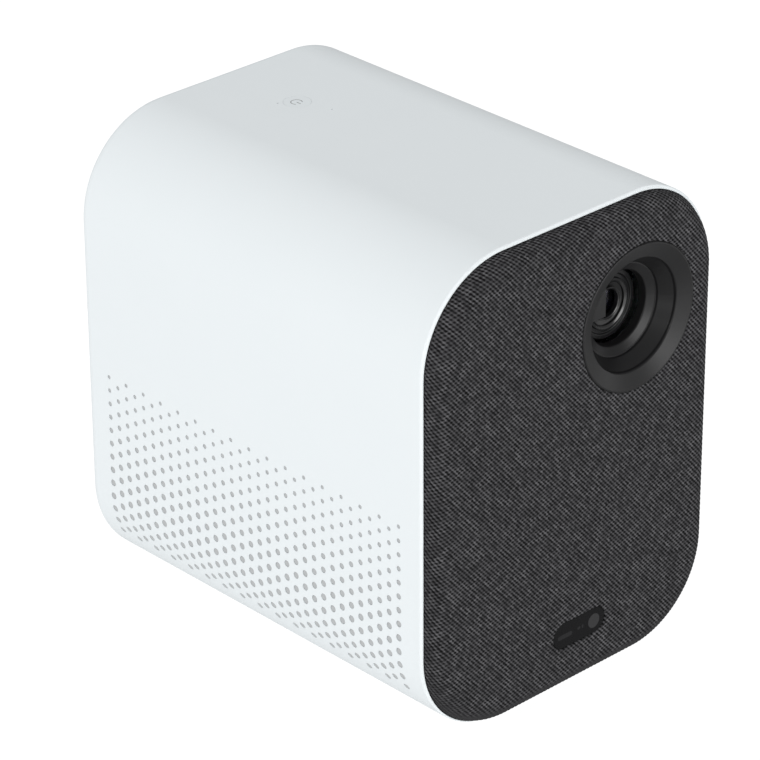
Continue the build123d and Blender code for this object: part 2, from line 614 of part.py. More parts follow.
# ---------------------------------------------------------------- frame and boards
def chassis():
    """Moulded floor that everything stands on, with screw bosses over the feet."""
    plate = slab((-35.5, 35.5), (-60.0, 68.0), BASE_Z)
    plate = fillet(plate.edges().filter_by(Axis.Z), 4.0)
    for place in FEET:
        plate += rod("Z", place, 4.0, (FLOOR_IN, BASE_Z[1] + 1.4))
    plate += rod("Z", (0, 0), 8.0, (FLOOR_IN, BASE_Z[1] + 1.0))
    for place in BOARD_POSTS:
        plate += rod("Z", place, 2.6, (BASE_Z[0] + 1, BOARD_Z[0]))
        plate -= rod("Z", place, 1.15, (BASE_Z[0] + 0.6, BOARD_Z[0] + 1))
    for place in FEET:
        plate -= rod("Z", place, 1.25, (FLOOR_IN - 1, BASE_Z[1] + 3))
    return plate - rod("Z", (0, 0), 5.05, (FLOOR_IN - 1, BASE_Z[1] + 2))


def tripod_insert():
    """Brass bush with the stand's thread, shown as its tapping bore and closed at the top."""
    bush = rod("Z", (0, 0), 5.0, (FOOT, FOOT + 8.6))
    bush -= tube("Z", (0, 0), 6.0, 4.6, (FOOT + 5.0, FOOT + 6.0))
    return bush - rod("Z", (0, 0), THREAD_R, (FOOT - 1, FOOT + 7.0))


def inner_frame():
    """Folded sheet-metal frame: two bulkheads and the shelf under the light engine."""
    frame = slab((-46.0, 49.5), (BULKHEADS_Y[0][0], BULKHEADS_Y[1][1]), SHELF_Z)
    for wall in BULKHEADS_Y:
        frame += slab((-35.5, 35.5), wall, (BOARD_Z[1] + 2.0, SHELF_Z[1]))
        frame += slab((-46.0, 49.5), wall, (SHELF_Z[0] - 4, SHELF_Z[1]))
        for side in (-1, 1):
            frame += slab(across(side, 33.3, 35.5), wall, (BASE_Z[1], BOARD_Z[1] + 3))
        frame -= slab((-27.0, 27.0), (wall[0] - 1, wall[1] + 1), (19.0, 66.0))
    for x in LAMP_XS:
        frame -= rod("Z", (x, LAMP_Y), PIPE_R + 0.8, (SHELF_Z[0] - 1, SHELF_Z[1] + 1))
    return frame


def main_board():
    board = slab((-33, 33), (-16.0, 66.0), BOARD_Z)
    through = (BOARD_Z[0] - 1, BOARD_Z[1] + 1)
    board -= rod("Z", (0, 0), 6.5, through)
    for place in BOARD_POSTS:
        board -= rod("Z", place, 1.3, through)
    return board


def processor_shield():
    can = slab((-28, -10), (8.0, 34.0), (BOARD_Z[1], BOARD_Z[1] + 2.4))
    return fillet(can.edges().filter_by(Axis.Z), 1.0)


def power_board():
    return slab((-33.0, -31.4), (-8.0, 50.0), (BOARD_Z[1], 68.0))


def power_parts():
    """Coils and capacitors on the power board."""
    face = -31.4
    parts = [rod("X", (y, 56.0), 5.0, (face, face + 12)) for y in (2.0, 15.0, 28.0)]
    parts += [slab((face, face + 8), (y, y + 11), (22.0, 33.0)) for y in (0.0, 16.0, 32.0)]
    return parts


def screw(x, y, head_z, tip_z, head_r, shank_r, head):
    """A screw along Z; the head's outer face is at head_z and the tip at tip_z."""
    inner = head_z + math.copysign(head, tip_z - head_z)
    top = rod("Z", (x, y), head_r, (min(head_z, inner), max(head_z, inner)))
    return top + rod("Z", (x, y), shank_r, (min(inner, tip_z), max(inner, tip_z)))


def screws():
    """Case screws under the feet, main board screws and button board screws."""
    case = [screw(x, y, FOOT + 0.92, BASE_Z[1] + 1.2, 2.9, 1.2, 0.75) for x, y in FEET]
    board = [screw(x, y, BOARD_Z[1] + 1.2, BASE_Z[0] + 0.8, 2.2, 1.1, 1.2) for x, y in BOARD_POSTS]
    low = BUTTON_BOARD_Z[0]
    button = [screw(side * BUTTON_POST_X, BUTTON_Y, low - 1.4, low + 6, 2.2, 1.15, 1.4)
              for side in (-1, 1)]
    return case + board + button


# ---------------------------------------------------------------- sockets
def video_socket():
    x, z = VIDEO_AT
    back = PORT_Y - 11.5
    body = slab((x - VIDEO_W / 2, x + VIDEO_W / 2), (back, PORT_Y), (z - VIDEO_H / 2, z + VIDEO_H / 2))
    body = chamfer(body.edges().filter_by(Axis.Y).group_by(Axis.Z)[0], 1.3)
    half_w, half_h = VIDEO_W / 2 - 0.5, VIDEO_H / 2 - 0.5
    mouth = slab((x - half_w, x + half_w), (back + 1.5, PORT_Y + 1), (z - half_h, z + half_h))
    mouth = chamfer(mouth.edges().filter_by(Axis.Y).group_by(Axis.Z)[0], 1.2)
    return body - mouth + slab((x - 5.6, x + 5.6), (back + 1, PORT_Y - 1.2), (z - 0.3, z + 0.7))


def data_socket():
    x, z = DATA_AT
    back = PORT_Y - 13.5
    body = slab((x - DATA_W / 2, x + DATA_W / 2), (back, PORT_Y), (z - DATA_H / 2, z + DATA_H / 2))
    half_w, half_h = DATA_W / 2 - 0.6, DATA_H / 2 - 0.6
    body -= slab((x - half_w, x + half_w), (back + 1.5, PORT_Y + 1), (z - half_h, z + half_h))
    return body + slab((x - 5.7, x + 5.7), (back + 1, PORT_Y - 0.8), (z + 0.5, z + 2.3))


def audio_socket():
    x, z = AUDIO_AT
    body = slab((x - 3.4, x + 3.4), (PORT_Y - 13.0, PORT_Y - 2.7), (BOARD_Z[1], z + 3.4))
    body += rod("Y", AUDIO_AT, 3.0, (PORT_Y - 3.0, PORT_Y))
    return body - rod("Y", AUDIO_AT, AUDIO_R, (PORT_Y - 12.0, PORT_Y + 1))


def power_inlet():
    x, z = POWER_AT
    body = slab((x - 5.0, x + 5.0), (PORT_Y - 13.5, PORT_Y - 2.7), (BOARD_Z[1], z + 5.0))
    body += rod("Y", POWER_AT, 4.5, (PORT_Y - 3.0, PORT_Y))
    body -= rod("Y", POWER_AT, POWER_R, (PORT_Y - 10.5, PORT_Y + 1))
    return body + rod("Y", POWER_AT, 1.0, (PORT_Y - 11.0, PORT_Y - 1.0))


# ---------------------------------------------------------------- sensors behind the window
def focus_camera():
    """Small camera that judges focus and picture shape."""
    x, z = PILL_X + 6.2, PILL_Z - 0.3
    body = slab((x - 3.8, x + 3.8), (FRONT_Y + 5.0, FRONT_Y + 9.0), (z - 3.8, z + 3.8))
    return body + rod("Y", (x, z), 2.35, (FRONT_Y + 2.4, FRONT_Y + 5.2))


def distance_sensor():
    x, z = PILL_X - 4.2, PILL_Z
    body = slab((x - 5.2, x + 4.0), (FRONT_Y + 4.6, FRONT_Y + 9.0), (z - 2.6, z + 2.6))
    body += slab((x - 4.6, x + 1.2), (FRONT_Y + 2.4, FRONT_Y + 4.8), (z - 0.9, z + 0.9))
    return body + slab((x + 2.2, x + 3.4), (FRONT_Y + 2.4, FRONT_Y + 4.8), (z - 0.7, z + 0.7))


def sensor_board():
    y = (FRONT_Y + 9.0, FRONT_Y + 10.2)
    return slab((PILL_X - 12, PILL_X + 14), y, (PILL_Z - 6, PILL_Z + 6))


# ---------------------------------------------------------------- write every piece
save("outer_shell", outer_shell())
save("front_fabric", front_fabric())
save("front_baffle", front_baffle())
save("lens_shroud", lens_shroud())
save("sensor_window", sensor_window())
save("rear_cover", rear_cover())
save("port_panel", port_panel() - port_openings())
save("rubber_feet", *[rubber_foot(*place) for place in FEET])
save("dust_screens", dust_screen(-1), dust_screen(1))

save("power_button", power_button())
save("button_switch", button_switch())
save("button_board", button_board())

save("lens_mount", lens_mount())
save("focus_barrel", focus_barrel(), barrel_spacer(4.8, 12.75), barrel_spacer(15.3, 26.75))
save("front_lens", lens_element(2.75, 2.0, 0.9, 1.2))
save("inner_lenses", lens_element(12.8, 2.45, 2.0, 2.0), lens_element(26.8, 2.0, 1.5, 0.5))
save("focus_ring", focus_ring())
save("focus_pinion", focus_pinion())
save("focus_motor", focus_motor())
save("motor_bracket", motor_bracket())

save("engine_housing", engine_housing())
save("engine_lid", engine_lid())
save("lamp_boards", *[lamp_board(x) for x in LAMP_XS])
save("collimator_lenses", *[collimator(x) for x in LAMP_XS])
save("dichroic_mirrors", *[dichroic_mirror(x) for x in LAMP_XS])
save("prism", prism())
save("picture_chip", picture_chip())
save("chip_board", chip_board())
save("chip_heatsink", chip_heatsink())
save("cold_plates", *[cold_plate(x) for x in LAMP_XS])
save("heat_pipes", *[heat_pipe(x) for x in LAMP_XS])
save("heatsink_fins", heatsink_fins())
save("fan_frame", fan_frame())
save("fan_impeller", fan_impeller())

for name, side in (("left", -1), ("right", 1)):
    save("speaker_box_" + name, speaker_box(side))
    save("speaker_basket_" + name, speaker_basket(side))
    save("speaker_magnet_" + name, speaker_magnet(side))
    save("speaker_surround_" + name, speaker_surround(side))
    save("speaker_cone_" + name, speaker_cone(side))

save("chassis", chassis())
save("inner_frame", inner_frame())
save("tripod_insert", tripod_insert())
save("main_board", main_board())
save("processor_shield", processor_shield())
save("power_board", power_board())
save("power_parts", *power_parts())
save("video_socket", video_socket())
save("data_socket", data_socket())
save("audio_socket", audio_socket())
save("power_inlet", power_inlet())
save("focus_camera", focus_camera())
save("distance_sensor", distance_sensor())
save("sensor_board", sensor_board())
save("screws", *screws())
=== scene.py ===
import json
import math

import bpy
import numpy as np
from mathutils import Matrix, Vector


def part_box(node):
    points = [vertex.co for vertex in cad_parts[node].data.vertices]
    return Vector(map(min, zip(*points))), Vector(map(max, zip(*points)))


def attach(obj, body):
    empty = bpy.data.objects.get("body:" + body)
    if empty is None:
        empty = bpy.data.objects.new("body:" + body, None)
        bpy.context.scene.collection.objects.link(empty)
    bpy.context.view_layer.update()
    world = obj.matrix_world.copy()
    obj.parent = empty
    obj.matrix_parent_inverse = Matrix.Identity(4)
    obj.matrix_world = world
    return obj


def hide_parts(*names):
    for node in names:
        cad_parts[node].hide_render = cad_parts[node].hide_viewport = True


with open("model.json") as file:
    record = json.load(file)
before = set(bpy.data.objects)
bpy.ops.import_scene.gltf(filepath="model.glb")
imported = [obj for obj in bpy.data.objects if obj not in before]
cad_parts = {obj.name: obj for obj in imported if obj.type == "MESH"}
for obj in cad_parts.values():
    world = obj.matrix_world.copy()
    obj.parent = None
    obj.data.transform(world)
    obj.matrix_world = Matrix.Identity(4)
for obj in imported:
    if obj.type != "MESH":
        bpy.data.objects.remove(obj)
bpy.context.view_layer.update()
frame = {"nodes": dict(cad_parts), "record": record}

# Looks of the compact home projector around its CAD frame. Metres, in the CAD frame: +X to the
# right seen from the front, +Y towards the back, +Z up, with the fabric front facing -Y.

MM = 0.001

# ---------------------------------------------------------------- measures read from the frame
shell_low, shell_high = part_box("outer_shell")
cloth_low, cloth_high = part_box("front_fabric")
barrel_low, barrel_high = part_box("focus_barrel")
window_low, window_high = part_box("sensor_window")
button_low, button_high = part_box("power_button")

FRONT_Y = cloth_low.y                                    # face of the cloth
LENS_X = (barrel_low.x + barrel_high.x) / 2
LENS_Z = (barrel_low.z + barrel_high.z) / 2
MID_X = (cloth_low.x + cloth_high.x) / 2
MID_Z = (cloth_low.z + cloth_high.z) / 2
WINDOW_X = (window_low.x + window_high.x) / 2
WINDOW_Z = (window_low.z + window_high.z) / 2
WINDOW_W, WINDOW_H = window_high.x - window_low.x, window_high.z - window_low.z
BUTTON_Y = (button_low.y + button_high.y) / 2

SHROUD_R = 22.8 * MM                                     # rim of the funnel round the lens
CORNER_R = 29.85 * MM                                    # corner of the cloth's outline
SHOULDER = 6.0 * MM                                      # rounding of the cloth's edge


# ---------------------------------------------------------------- camera
def make_camera():
    """Seen from the front left and above, with a long lens."""
    turn, rise, roll = math.radians(43.300), math.radians(27.582), math.radians(0.326)
    aim = Vector((-6.35, 0.42, 76.67)) * MM              # near the middle of the sleeve
    distance = 1.170
    focal_length, sensor_width = 187.62, 36.0            # mm
    ahead = Vector((math.sin(turn) * math.cos(rise), math.cos(turn) * math.cos(rise),
                    -math.sin(rise)))
    level = Vector((math.cos(turn), -math.sin(turn), 0.0))
    up = level.cross(ahead)
    right = level * math.cos(roll) - up * math.sin(roll)
    up = right.cross(ahead)
    data = bpy.data.cameras.new("camera")
    data.lens, data.sensor_width = focal_length, sensor_width
    data.clip_end = 50.0
    camera = bpy.data.objects.new("camera", data)
    place = aim - ahead * distance
    camera.matrix_world = Matrix((
        (right.x, up.x, -ahead.x, place.x),
        (right.y, up.y, -ahead.y, place.y),
        (right.z, up.z, -ahead.z, place.z),
        (0.0, 0.0, 0.0, 1.0),
    ))
    bpy.context.scene.collection.objects.link(camera)
    bpy.context.scene.camera = camera


make_camera()


# ---------------------------------------------------------------- node graph helper
class Graph:
    """One material's nodes. Inputs may be numbers, tuples or sockets."""

    def __init__(self, name):
        self.material = bpy.data.materials.new(name)
        self.material.use_nodes = True
        tree = self.material.node_tree
        self.nodes, self.links = tree.nodes, tree.links
        self.shader = self.nodes["Principled BSDF"]
        self.place = self.node("ShaderNodeTexCoord").outputs["Object"]

    def node(self, kind, inputs=None, **settings):
        """A new node with these inputs fed and these settings made."""
        made = self.nodes.new(kind)
        for name, value in settings.items():
            setattr(made, name, value)
        for name, value in (inputs or {}).items():
            self.feed(value, made.inputs[name])
        return made

    def feed(self, value, socket):
        """Link a socket, or set a constant."""
        if isinstance(value, bpy.types.NodeSocket):
            self.links.new(value, socket)
        elif socket.type == "RGBA":
            socket.default_value = (*value, 1.0)
        else:
            socket.default_value = value

    def set(self, **values):
        """Set the shader's sockets: base_color=..., roughness=..., normal=..."""
        for name, value in values.items():
            title = {"ior": "IOR", "specular": "Specular IOR Level"}.get(name)
            title = title or name.replace("_", " ").title()
            self.feed(value, self.shader.inputs[title])
        return self.material

    def math(self, operation, a, b=0.0, c=0.0, **settings):
        """One step of arithmetic on numbers."""
        made = self.node("ShaderNodeMath", operation=operation, **settings)
        for value, socket in zip((a, b, c), made.inputs):
            self.feed(value, socket)
        return made.outputs[0]

    def vector(self, operation, a, b=(0.0, 0.0, 0.0)):
        """One step of arithmetic on vectors; a dot product or a length gives a number."""
        made = self.node("ShaderNodeVectorMath", operation=operation)
        self.feed(a, made.inputs[0])
        self.feed(b, made.inputs[1])
        return made.outputs["Value" if operation in ("DOT_PRODUCT", "LENGTH") else "Vector"]

    def scaled(self, scale):
        """Object place times a scale, which may differ by axis."""
        return self.vector("MULTIPLY", self.place, scale)

    def noise(self, size, detail=3.0, stretch=(1.0, 1.0, 1.0)):
        """Noise from 0 to 1 with features of about the given size in metres."""
        where = self.scaled(tuple(s / size for s in stretch))
        made = self.node("ShaderNodeTexNoise", {"Vector": where, "Scale": 1.0, "Detail": detail,
                                                "Roughness": 0.55})
        return made.outputs["Fac"]

    def ramp(self, value, *stops):
        """Map a number through (position, colour) stops."""
        made = self.node("ShaderNodeValToRGB", {"Fac": value})
        elements = made.color_ramp.elements
        while len(elements) < len(stops):
            elements.new(0.5)
        for element, (position, colour) in zip(elements, stops):
            element.position = position
            colour = (colour,) * 3 if isinstance(colour, (int, float)) else colour
            element.color = (*colour, 1.0)
        return made.outputs["Color"]

    def between(self, value, low, high):
        """Map 0..1 onto low..high."""
        made = self.node("ShaderNodeMapRange", {"Value": value, "To Min": low, "To Max": high})
        return made.outputs["Result"]

    def mix(self, amount, a, b):
        """Colour a where the amount is 0, b where it is 1."""
        made = self.node("ShaderNodeMix", data_type="RGBA")
        for value, index in ((amount, 0), (a, 6), (b, 7)):
            self.feed(value, made.inputs[index])
        return made.outputs[2]

    def bump(self, height, distance, strength=1.0):
        """A normal for relief of this distance in metres."""
        inputs = {"Height": height, "Distance": distance, "Strength": strength}
        return self.node("ShaderNodeBump", inputs).outputs["Normal"]


def tint(colour, factor):
    """A colour made lighter or darker, never brighter than white."""
    return tuple(min(c * factor, 1.0) for c in colour)


# ---------------------------------------------------------------- material families
def moulded(name, colour, roughness, relief=0.004 * MM):
    """Injection-moulded plastic: spark-eroded grain, a faint flow mottle and handling sheen."""
    g = Graph(name)
    mottle = g.noise(18 * MM, detail=4.0)
    sheen = g.noise(6 * MM, detail=5.0)
    grain = g.noise(0.32 * MM, detail=2.0)
    return g.set(
        base_color=g.mix(mottle, tint(colour, 0.975), tint(colour, 1.025)),
        roughness=g.between(sheen, roughness - 0.04, roughness + 0.04),
        normal=g.bump(grain, relief),
        ior=1.49,
    )


def rubber(name, colour):
    """Matt rubber or coated paper with a little dust in it."""
    g = Graph(name)
    dust = g.noise(1.2 * MM, detail=6.0)
    return g.set(
        base_color=g.mix(dust, tint(colour, 0.8), tint(colour, 1.25)),
        roughness=g.between(dust, 0.72, 0.88),
        normal=g.bump(g.noise(0.25 * MM, detail=3.0), 0.01 * MM),
    )


def metal(name, colour, roughness, stretch=(1.0, 1.0, 1.0), grain=0.4 * MM, relief=0.003 * MM):
    """Metal with a drawn, brushed or cast grain; stretch under 1 draws the grain out."""
    g = Graph(name)
    lines = g.noise(grain, detail=4.0, stretch=stretch)
    stain = g.noise(9 * MM, detail=5.0)
    return g.set(
        base_color=g.mix(stain, tint(colour, 0.9), tint(colour, 1.06)),
        metallic=1.0,
        roughness=g.between(lines, roughness - 0.08, roughness + 0.1),
        normal=g.bump(lines, relief),
    )


def circuit_board(name, colour, copper):
    """Solder mask over etched tracks and pads."""
    g = Graph(name)
    spacing = 1.9 * MM
    cells = g.node("ShaderNodeTexVoronoi", {"Vector": g.scaled((1 / spacing,) * 3), "Scale": 1.0},
                   distance="CHEBYCHEV", feature="DISTANCE_TO_EDGE")
    tracks = g.ramp(cells.outputs["Distance"], (0.05, 1.0), (0.09, 0.0))
    pads = g.ramp(g.noise(0.9 * MM, detail=0.0), (0.70, 0.0), (0.73, 1.0))
    masked = g.mix(tracks, colour, tint(colour, 1.7))
    return g.set(
        base_color=g.mix(pads, masked, copper),
        roughness=g.between(g.noise(3 * MM), 0.28, 0.4),
        normal=g.bump(tracks, 0.02 * MM),
    )


def clear_glass(name, colour, coat_tint):
    """Polished optical glass under an anti-reflection coating; dust gives the faintest haze."""
    g = Graph(name)
    haze = g.noise(0.6 * MM, detail=6.0)
    return g.set(
        base_color=colour,
        transmission_weight=1.0,
        roughness=g.between(haze, 0.01, 0.04),
        ior=1.52,
        coat_weight=0.6,
        coat_roughness=0.02,
        coat_tint=coat_tint,
    )


# ---------------------------------------------------------------- the visible finishes
def shell_white():
    """Satin white sleeve; its fine grain dulls the gloss without showing as texture."""
    g = Graph("shell_white")
    flow = g.noise(45 * MM, detail=3.0)
    grain = g.noise(0.30 * MM, detail=2.0)
    return g.set(
        base_color=g.mix(flow, (0.770, 0.815, 0.835), (0.790, 0.832, 0.850)),
        roughness=g.between(g.noise(7 * MM, detail=5.0), 0.44, 0.52),
        normal=g.bump(grain, 0.003 * MM),
        ior=1.46,
        subsurface_weight=0.06,
        subsurface_radius=(0.002, 0.002, 0.002),
        subsurface_scale=0.5,
    )


# The cloth is a plain weave: light floats of the twisted yarn lie on a slightly skewed lattice
# and line up into diagonal rows. Waves per millimetre across (x) and up (z) the front:
ROW_WAVE = (0.667, 0.596)                                # across the diagonal rows
BEAD_WAVE = (0.602, -0.600)                              # along each row, from float to float


def cloth_grey():
    """Melange yarn: light threads in diagonal rows, bridged over dark pits between them. The
    weave attribute holds the flat cloth's millimetres, and in z the painted shade over the edge."""
    wander = 0.42                                        # mm that the yarn strays from its line
    yarn_run = 0.3                                       # changes of yarn shade in one bead
    least_contrast, most_contrast = 0.65, 1.15
    g = Graph("cloth_grey")
    weave = g.node("ShaderNodeAttribute", attribute_name="weave").outputs["Vector"]
    shade_over_edge = g.node("ShaderNodeSeparateXYZ", {"Vector": weave}).outputs["Z"]
    flat = g.vector("MULTIPLY", weave, (1.0, 1.0, 0.0))

    def patches(per_mm, detail=3.0):
        """Noise with about this many features to a millimetre of cloth."""
        at = g.vector("MULTIPLY", flat, (per_mm, per_mm, 1.0))
        return g.node("ShaderNodeTexNoise", {"Vector": at, "Scale": 1.0, "Detail": detail})

    def hump(turns):
        """A soft wave from 0 to 1, highest at whole turns."""
        return g.math("MULTIPLY_ADD", g.math("COSINE", g.math("MULTIPLY", turns, 2 * math.pi)),
                      0.5, 0.5)

    def jitter(x, y, amount):
        """One random shade for each unit cell of x and y."""
        cell = g.node("ShaderNodeCombineXYZ", {"X": g.math("FLOOR", x), "Y": g.math("FLOOR", y)})
        lot = g.node("ShaderNodeTexWhiteNoise", {"Vector": cell.outputs[0]}, noise_dimensions="2D")
        return g.math("MULTIPLY", g.math("SUBTRACT", lot.outputs["Value"], 0.5), amount)

    # the yarn wanders a little, and is counted in rows and in beads along them
    shift = g.vector("SUBTRACT", patches(0.9, 2.0).outputs["Color"], (0.5, 0.5, 0.5))
    bent = g.vector("ADD", flat, g.vector("MULTIPLY", shift, (wander, wander, 0.0)))
    row = g.vector("DOT_PRODUCT", bent, (*ROW_WAVE, 0.0))
    bead = g.vector("DOT_PRODUCT", bent, (*BEAD_WAVE, 0.0))
    ridge = hump(row)
    bridge = hump(g.math("SUBTRACT", bead, g.math("MULTIPLY", row, 0.5)))

    # shade of the threads on top, and of the pits between the rows
    thread = g.math("ADD", row, 0.5)
    run = g.math("MULTIPLY", bead, yarn_run)
    ridge_tone = g.math("ADD", jitter(thread, run, 0.10), 0.72)
    ridge_tone = g.math("ADD", ridge_tone, jitter(thread, bead, 0.26))
    ridge_tone = g.math("MULTIPLY_ADD", bridge, 0.20, ridge_tone)
    pit_tone = g.math("MULTIPLY_ADD", bridge, g.math("ADD", jitter(row, bead, 0.45), 0.52), -0.06)
    tone = g.node("ShaderNodeMix", {0: ridge, 2: pit_tone, 3: ridge_tone}).outputs[0]
    fibre = patches(6.5).outputs["Fac"]
    tone = g.math("ADD", tone, g.math("MULTIPLY", g.math("SUBTRACT", fibre, 0.5), 0.35))

    # contrast comes and goes in patches; over the edge the weave fades out and the cloth is
    #     painted darker there: painted shade, strongest under the lower edge and under the lip
    contrast = g.math("MULTIPLY_ADD", patches(0.30).outputs["Fac"], 2.0, -0.15)
    contrast = g.math("MINIMUM", g.math("MAXIMUM", contrast, least_contrast), most_contrast)
    fading = g.math("MULTIPLY_ADD", shade_over_edge, -4.5, 1.1, use_clamp=True)
    contrast = g.math("MULTIPLY", contrast, fading)
    tone = g.math("MULTIPLY_ADD", g.math("SUBTRACT", tone, 0.5), contrast, 0.5)
    tone = g.math("ADD", tone, g.math("MULTIPLY", shade_over_edge, 0.10))
    # painted shade: the cloth is darkened over the edge, most under the lower edge and the lip
    shaded = g.math("MULTIPLY_ADD", shade_over_edge, 10.0, -3.6, use_clamp=True)
    tone = g.math("ADD", tone, g.math("MULTIPLY", shaded, -0.40))
    relief = g.math("MAXIMUM", ridge, g.math("MULTIPLY", bridge, 0.6))
    return g.set(
        base_color=g.ramp(tone, (0.0, (0.002, 0.002, 0.0022)), (0.33, (0.0121, 0.0119, 0.0129)),
                          (0.66, (0.0462, 0.0456, 0.0482)), (1.0, (0.115, 0.114, 0.119))),
        roughness=g.between(fibre, 0.82, 0.95),
        normal=g.bump(g.math("ADD", relief, fibre), 0.03 * MM, 0.5),
        specular=0.12,
    )


def lens_black(name, specular):
    """Black of the funnel and the lens cell, with turned rings too fine to count: smooth on the
    barrel's nose, satin outside it."""
    rings_per_metre = 9000.0
    smooth_r, satin_r, ramp_r = 9.6 * MM, 11.2 * MM, 20 * MM
    g = Graph(name)
    across = g.vector("SUBTRACT", g.place, (LENS_X, 0.0, LENS_Z))
    radius = g.vector("LENGTH", g.vector("MULTIPLY", across, (1.0, 0.0, 1.0)))
    turning = g.math("MULTIPLY", radius, rings_per_metre)
    rings = g.node("ShaderNodeTexNoise", {"W": turning, "Scale": 1.0},
                   noise_dimensions="1D").outputs["Fac"]
    mottle = g.noise(5 * MM, detail=4.0)
    satin = g.ramp(g.math("MULTIPLY", radius, 1 / ramp_r), (smooth_r / ramp_r, 0.15),
                   (satin_r / ramp_r, 0.30))
    return g.set(
        base_color=g.mix(mottle, (0.0088, 0.0088, 0.0093), (0.0104, 0.0104, 0.0110)),
        roughness=g.math("MULTIPLY_ADD", rings, 0.06, satin),
        normal=g.bump(g.math("ADD", rings, g.noise(0.3 * MM)), 0.0012 * MM),
        specular=specular,
    )


def smoked(name, dark, light):
    """Smoked gloss plastic of the sensor window and its marks."""
    g = Graph(name)
    ripple = g.noise(6 * MM, detail=2.0)
    return g.set(
        base_color=g.mix(ripple, dark, light),
        roughness=g.between(g.noise(1.5 * MM, detail=5.0), 0.12, 0.18),
        normal=g.bump(ripple, 0.01 * MM),
        specular=0.10,
    )


def screen_grey():
    """Fine woven dust mesh in the side holes."""
    g = Graph("screen_grey")
    spacing = 0.45 * MM
    once_per_unit = 0.3142                               # the wave node's scale for one wave
    at = g.scaled((1 / spacing,) * 3)
    waves = [g.node("ShaderNodeTexWave", {"Vector": at, "Scale": once_per_unit},
                    bands_direction=axis).outputs["Fac"] for axis in ("Y", "Z")]
    mesh = g.math("MAXIMUM", *waves)
    return g.set(
        base_color=g.ramp(mesh, (0.2, (0.36, 0.372, 0.378)), (0.8, (0.50, 0.515, 0.522))),
        roughness=0.7,
        normal=g.bump(mesh, 0.02 * MM),
        specular=0.2,
    )


def symbol_grey():
    """Grey ink of the power symbol."""
    g = Graph("symbol_grey")
    ink = g.noise(0.2 * MM, detail=3.0)
    return g.set(
        base_color=g.mix(ink, (0.23, 0.24, 0.245), (0.28, 0.29, 0.296)),
        roughness=g.between(ink, 0.35, 0.5),
    )


BLACK, DARK = (0.020, 0.020, 0.021), (0.035, 0.035, 0.037)
MATERIALS = {                                            # by the record's material slots
    "white_shell": shell_white(),
    "white_cover": moulded("cover_white", (0.775, 0.815, 0.835), 0.5),
    "button_cap": moulded("button_white", (0.775, 0.82, 0.84), 0.46, relief=0.003 * MM),
    "front_cloth": cloth_grey(),
    "black_plastic": moulded("baffle_black", BLACK, 0.55, relief=0.01 * MM),
    "dark_plastic": moulded("inlay_dark", DARK, 0.42, relief=0.006 * MM),
    "lens_plastic": lens_black("lens_black", 0.42),
    "sensor_glass": smoked("window_black", (0.008, 0.008, 0.0085), (0.0095, 0.0095, 0.010)),
    "mesh_grey": screen_grey(),
    "foot_rubber": rubber("foot_rubber", (0.045, 0.045, 0.047)),
    "lens_glass": clear_glass("lens_glass", (0.97, 0.98, 1.0), (0.85, 0.95, 1.0)),
    "coated_glass": clear_glass("coated_glass", (0.95, 0.96, 1.0), (0.75, 0.7, 1.0)),
    "cast_alloy": metal("cast_alloy", (0.52, 0.53, 0.55), 0.45, grain=0.8 * MM, relief=0.02 * MM),
    "fin_alloy": metal("fin_alloy", (0.78, 0.79, 0.80), 0.28, stretch=(0.05, 1.0, 1.0)),
    "pipe_copper": metal("pipe_copper", (0.82, 0.46, 0.30), 0.25, stretch=(1.0, 1.0, 0.05)),
    "sheet_steel": metal("sheet_steel", (0.60, 0.61, 0.63), 0.35, stretch=(0.06, 1.0, 1.0)),
    "screw_steel": metal("screw_steel", (0.16, 0.16, 0.17), 0.38, grain=0.2 * MM),
    "socket_steel": metal("socket_steel", (0.62, 0.63, 0.65), 0.26, stretch=(0.08, 1.0, 1.0)),
    "motor_steel": metal("motor_steel", (0.58, 0.59, 0.61), 0.3, stretch=(1.0, 0.05, 1.0)),
    "thread_brass": metal("thread_brass", (0.78, 0.60, 0.28), 0.24, stretch=(1.0, 1.0, 8.0)),
    "gear_white": moulded("gear_white", (0.74, 0.73, 0.69), 0.4, relief=0.002 * MM),
    "gear_black": moulded("gear_black", DARK, 0.36, relief=0.002 * MM),
    "board_green": circuit_board("board_green", (0.012, 0.085, 0.035), (0.75, 0.62, 0.36)),
    "board_black": circuit_board("board_black", (0.012, 0.013, 0.016), (0.72, 0.60, 0.36)),
    "chip_ceramic": moulded("chip_ceramic", (0.13, 0.12, 0.16), 0.22, relief=0.001 * MM),
    "coil_black": moulded("coil_black", (0.028, 0.028, 0.03), 0.5, relief=0.006 * MM),
    "cone_paper": rubber("cone_paper", (0.035, 0.035, 0.036)),
    "surround_rubber": rubber("surround_rubber", (0.022, 0.022, 0.023)),
    "magnet_iron": metal("magnet_iron", (0.30, 0.30, 0.32), 0.4, grain=1.5 * MM, relief=0.01 * MM),
    "chassis_plastic": moulded("chassis_grey", (0.06, 0.06, 0.064), 0.5, relief=0.01 * MM),
    "fan_black": moulded("fan_black", (0.025, 0.025, 0.026), 0.38, relief=0.003 * MM),
}


def dress_frame():
    """Give every CAD node the finish of its slot in the record."""
    for subpart in frame["record"]["subparts"]:
        node = frame["nodes"][subpart["node"]]
        for index in range(max(len(node.material_slots), 1)):
            if index >= len(node.data.materials):
                node.data.materials.append(None)
            node.data.materials[index] = MATERIALS[subpart["material_slot"]]


dress_frame()


# ---------------------------------------------------------------- mesh helper
def new_piece(name, vertices, faces, slot, body, smooth=True):
    """A mesh in its slot's finish, riding on one body of the frame."""
    mesh = bpy.data.meshes.new(name)
    mesh.from_pydata([tuple(v) for v in vertices], [], [tuple(f) for f in faces])
    mesh.validate()
    mesh.polygons.foreach_set("use_smooth", [smooth] * len(mesh.polygons))
    mesh.materials.append(MATERIALS[slot])
    piece = bpy.data.objects.new(name, mesh)
    bpy.context.scene.collection.objects.link(piece)
    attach(piece, body)
    return piece


